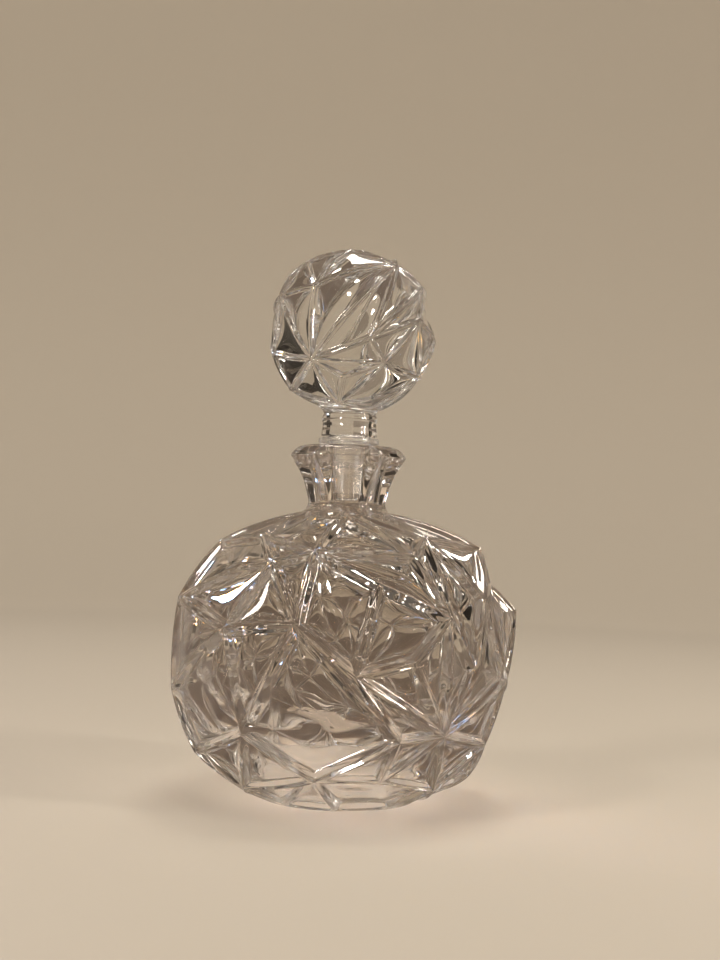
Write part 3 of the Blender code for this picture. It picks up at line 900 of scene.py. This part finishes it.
def add_screen(name, away, start, end, low, high, tone):
    """A curved screen from one azimuth to another in degrees, which facets pick up as patches and lines:
    painted shade where it is dark, painted highlights where it is bright.
    """
    degrees_per_step = 6
    shade_and_highlight_colour = (tone, 0.88 * tone, 0.75 * tone)
    steps = max(1, round((end - start) / degrees_per_step))
    mesh = bmesh.new()
    turns = [math.radians(start + (end - start) * step / steps) for step in range(steps + 1)]
    rows = [[mesh.verts.new(on_circle(away, height, turn)) for turn in turns] for height in (low, high)]
    for step in range(steps):
        mesh.faces.new((rows[0][step], rows[0][step + 1], rows[1][step + 1], rows[1][step]))
    show_to_glass_only(add_stage_piece(name, mesh, pale_material(name, shade_and_highlight_colour, SCREEN_ROUGHNESS)))


def add_floor_shade_screen(tone):
    """A dim sheet just over the floor, seen only in the glass: painted shade, so that the glass looks as if
    it were held up in a dim room.
    """
    above_floor = 0.4 * MM
    inner_radius = 21.0 * MM
    outer_radius = 600.0 * MM
    floor_shade_colour = (tone, 0.78 * tone, 0.6 * tone)
    turns = full_circle(48)
    mesh = bmesh.new()
    rings = [add_ring(mesh, radius, above_floor, turns) for radius in (inner_radius, outer_radius)]
    add_wall(mesh, rings)
    material = pale_material("floor_shade_screen", floor_shade_colour, SCREEN_ROUGHNESS)
    show_to_glass_only(add_stage_piece("floor_shade_screen", mesh, material))


def aim(obj, target):
    obj.rotation_mode = "QUATERNION"
    obj.rotation_quaternion = (Vector(target) - obj.location).to_track_quat("-Z", "Y")


def add_light(name, place, target, size, power, colour):
    """A rectangular soft light."""
    data = bpy.data.lights.new(name, "AREA")
    data.shape = "RECTANGLE"
    data.size, data.size_y = size
    data.energy = power
    data.color = colour
    obj = bpy.data.objects.new(name, data)
    obj.location = place
    bpy.context.scene.collection.objects.link(obj)
    aim(obj, target)
    obj.visible_camera = False
    return obj


def add_lamp(name, place, size, power, colour):
    """A small bright lamp that only glints in the glass and leaves the stage alone."""
    lamp = add_light(name, place, LIGHT_TARGET, size, power, colour)
    lamp.visible_diffuse = False


def build_air():
    """The dim warm light of the room itself."""
    world = bpy.data.worlds.new("studio_air")
    world.use_nodes = True
    background = world.node_tree.nodes["Background"]
    background.inputs["Color"].default_value = (0.35, 0.31, 0.265, 1.0)
    background.inputs["Strength"].default_value = 0.35
    bpy.context.scene.world = world


def build_lights():
    """A wash for the stage, a few soft lights for the ridges and small lamps for sparkle."""
    wash = add_light("wash", (0.0, 0.0, 1.6), (0.0, 0.25, 0.1), (1.0, 1.0), 11.5, WARM)
    wash.visible_glossy = False
    wash.visible_transmission = False
    add_light("soft_left", (-0.50, -0.45, 0.60), LIGHT_TARGET, (0.15, 0.15), 2.0, WARM)
    add_light("soft_right", (0.62, -0.25, 0.30), LIGHT_TARGET, (0.05, 0.35), 2.2, WARM)
    add_light("soft_top", (0.1, 0.25, 0.9), LIGHT_TARGET, (0.25, 0.15), 2.2, WARM)
    add_lamp("lamp_a", (-0.12, -0.75, 0.75), (0.06, 0.06), 3.0, WARM)
    add_lamp("lamp_b", (0.16, -0.70, 0.8), (0.06, 0.06), 3.0, WARM)
    add_lamp("lamp_low", (-0.35, -0.50, 0.10), (0.08, 0.08), 2.0, WARM)
    add_lamp("lamp_right", (0.55, -0.40, 0.20), (0.04, 0.12), 2.0, WARM)
    add_lamp("lamp_behind", (0.45, 0.45, 0.55), (0.08, 0.08), 2.0, WARM)
    add_lamp("lamp_above", (-0.15, 0.10, 0.80), (0.10, 0.05), 2.5, WARM)
    add_lamp("spark_amber", (-0.62, 0.30, 0.42), (0.04, 0.08), 4.0, AMBER)
    add_lamp("spark_blue", (-0.60, 0.34, 0.42), (0.04, 0.08), 4.0, BLUE)


def build_screens():
    """Dark and bright screens of uneven width nearly all round, and dark slats on the far side: painted
    shade where they are dark, painted highlights where they are bright.
    """
    away = 0.92
    top = 1.2
    first = -136
    last = 132
    bright_width = 8
    dark_widths = (14, 22)
    # Bright screens give painted highlights in the glass, dark ones painted shade.
    bright_tone = 0.95
    dark_tones = (0.01, 0.03, 0.1)
    chooser = random.Random(SCREEN_SEED)
    start = first
    while start < last:
        width = chooser.choice((bright_width, *dark_widths))
        tone = bright_tone if width == bright_width else chooser.choice(dark_tones)
        add_screen(f"screen_{start - first}", away, start, start + width, 0.0, top, tone)
        start += width
    add_screen("shade_left", 0.80, 186, 213, 0.0, top, 0.3)
    # A dim sheet under the bottle, seen only in the glass: painted shade.
    add_floor_shade_screen(0.13)
    # Dark slats seen only in the glass: painted shade.
    add_screen("shade_slat_left", 0.60, 214, 224, 0.0, 0.7, 0.01)
    add_screen("shade_slat_right", 0.60, 134, 146, 0.0, 0.7, 0.01)
    add_screen("shade_slat_high", 0.55, 196, 214, 0.34, 0.40, 0.01)


def set_up_view():
    """Plain contrast, and light paths long enough to cross many facets."""
    scene = bpy.context.scene
    scene.view_settings.view_transform = "Standard"
    scene.cycles.max_bounces = 28
    scene.cycles.transmission_bounces = 28
    scene.cycles.glossy_bounces = 20


def build_camera():
    """Level with the shoulder, close by, rolled so that the bottle leans a little to the right."""
    distance = 0.30
    height = 0.059
    lens_in_mm = 51.75
    sensor_in_mm = 36.0
    data = bpy.data.cameras.new("photo_camera")
    data.sensor_width = sensor_in_mm
    data.lens = lens_in_mm
    obj = bpy.data.objects.new("photo_camera", data)
    obj.location = (0.003, -distance, height)
    roll = math.radians(-2.0)
    pitch_up = math.radians(1.75)
    obj.rotation_euler = (math.radians(90) + pitch_up, roll, 0.0)
    bpy.context.scene.collection.objects.link(obj)
    bpy.context.scene.camera = obj


# The body's glass is tinted darker and warmer than the stopper's: the crystal's own faint tint, deepened
# into painted shade.
crystal = crystal_material("cut_crystal", (0.87, 0.835, 0.80))
stopper_crystal = crystal_material("cut_crystal_stopper", (0.985, 0.975, 0.96))
build_bottle(crystal)
build_stopper(stopper_crystal)
build_liner(plastic_material("moulded_clear_plastic"))
build_stage()
build_air()
build_lights()
build_screens()
build_camera()
set_up_view()
